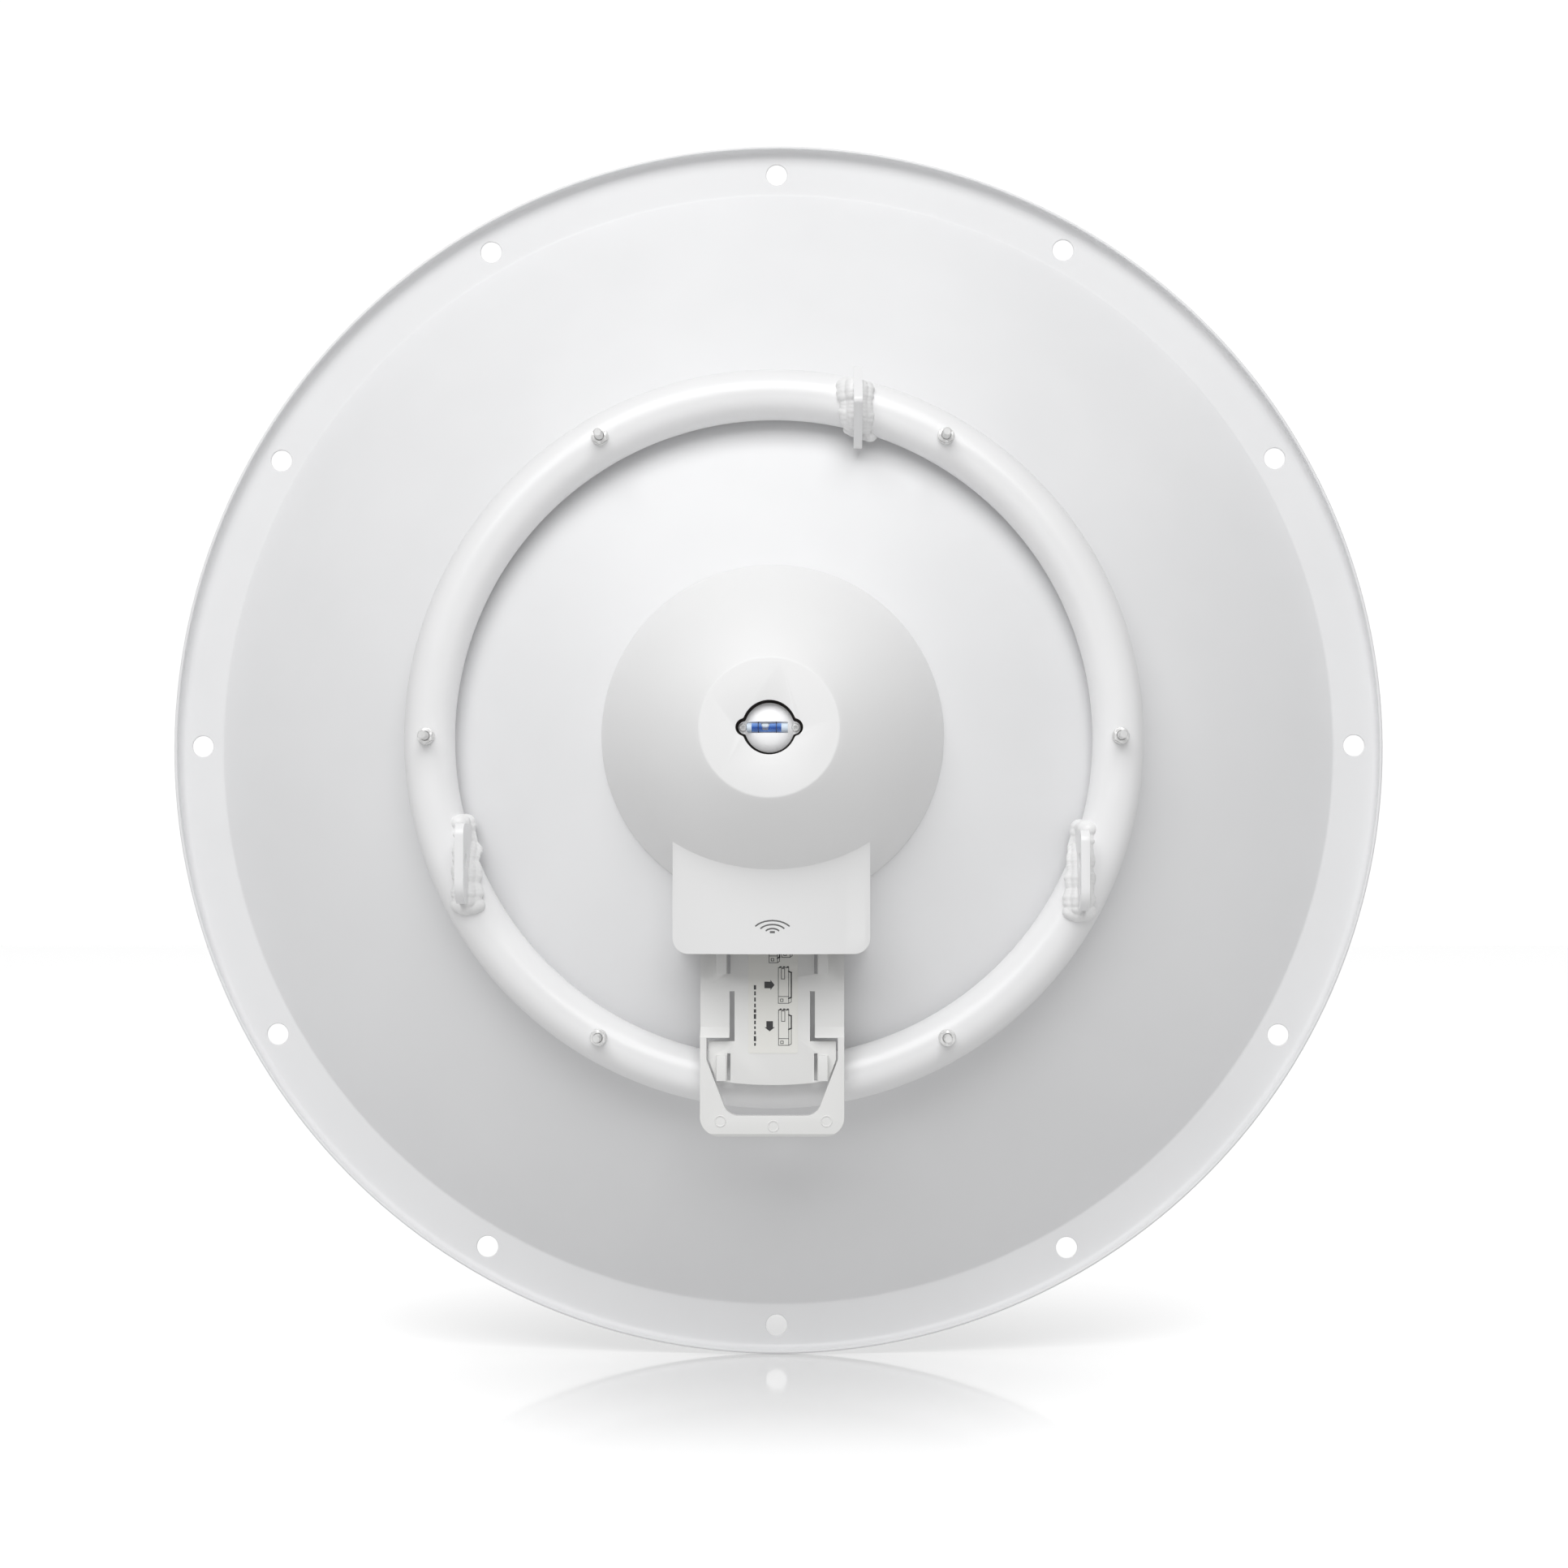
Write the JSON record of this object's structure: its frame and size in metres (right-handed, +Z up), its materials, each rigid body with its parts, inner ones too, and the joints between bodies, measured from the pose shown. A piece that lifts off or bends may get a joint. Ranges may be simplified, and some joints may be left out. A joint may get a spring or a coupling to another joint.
{
  "type": "outdoor wireless bridge antenna",
  "caption": "Dish antenna for an outdoor wireless bridge: reflector, welded back ring with bracket tabs, feed, shroud with bubble level and slide-on radio cradle.",
  "frame": {"origin": "the elevation pivot: on the line through the bolt holes of the two lower tabs, midway between them, 135 mm behind the flange and 72 mm below the dish axis", "axes": "+Z up, +Y forward along the beam and parallel to the dish axis, +X to the right seen from behind and along the elevation pivot"},
  "size_m": [0.7476, 0.316, 0.7476],
  "materials": {
    "dish_paint": "satin white powder coat",
    "frame_paint": "satin white powder coat",
    "fastener_steel": "zinc plated",
    "seal_rubber": "matt",
    "shroud_plastic": "fine moulded texture",
    "cradle_plastic": "moulded",
    "label_film": "printed film",
    "cast_alloy": "machined casting",
    "connector_brass": "plated",
    "insulator_plastic": "turned",
    "level_plastic": "moulded",
    "vial_clear": "polished",
    "level_fluid": "clear blue fluid",
    "bubble_clear": "clear"
  },
  "bodies": {
    "antenna": {"reflector": "dish_paint", "back_ring": "frame_paint", "top_tab": "frame_paint", "left_tab": "frame_paint", "right_tab": "frame_paint", "top_tab_weld": "frame_paint", "left_tab_weld": "frame_paint", "right_tab_weld": "frame_paint", "ring_bolts": "fastener_steel", "ring_bolt_seats": "seal_rubber", "ring_washers": "fastener_steel", "ring_nuts": "fastener_steel", "rear_shroud": "shroud_plastic", "shroud_screws": "fastener_steel", "shroud_screw_seats": "seal_rubber", "radio_cradle": "cradle_plastic", "cradle_label": "label_film", "cradle_spacers": "cast_alloy", "cradle_screws": "fastener_steel", "cradle_seats": "seal_rubber", "cradle_nuts": "fastener_steel", "feed_housing": "cast_alloy", "feed_back_plate": "cast_alloy", "feed_gasket": "seal_rubber", "feed_tube": "cast_alloy", "feed_screws": "fastener_steel", "feed_nuts": "fastener_steel", "feed_cap": "shroud_plastic", "sub_reflector": "cast_alloy", "rf_connectors": "connector_brass", "rf_insulators": "insulator_plastic", "rf_probes": "connector_brass", "level_holder": "level_plastic", "level_vial": "vial_clear", "level_plugs": "vial_clear", "level_liquid": "level_fluid", "level_screws": "fastener_steel"},
    "latch": {"cradle_latch": "cradle_plastic"},
    "bubble": {"level_bubble": "bubble_clear"}
  },
  "joints": [
    {"name": "latch_flex", "type": "hinge", "parent": "antenna", "child": "latch", "pos_m": [0, 0.00725, -0.075], "axis": [1, 0, 0], "range_deg": [0, 6], "stiffness_Nm_per_rad": 8},
    {"name": "bubble_slide", "type": "slide", "parent": "antenna", "child": "bubble", "axis": [1, 0, 0], "range_m": [-0.004, 0.004], "stiffness_N_per_m": 0.5}
  ]
}
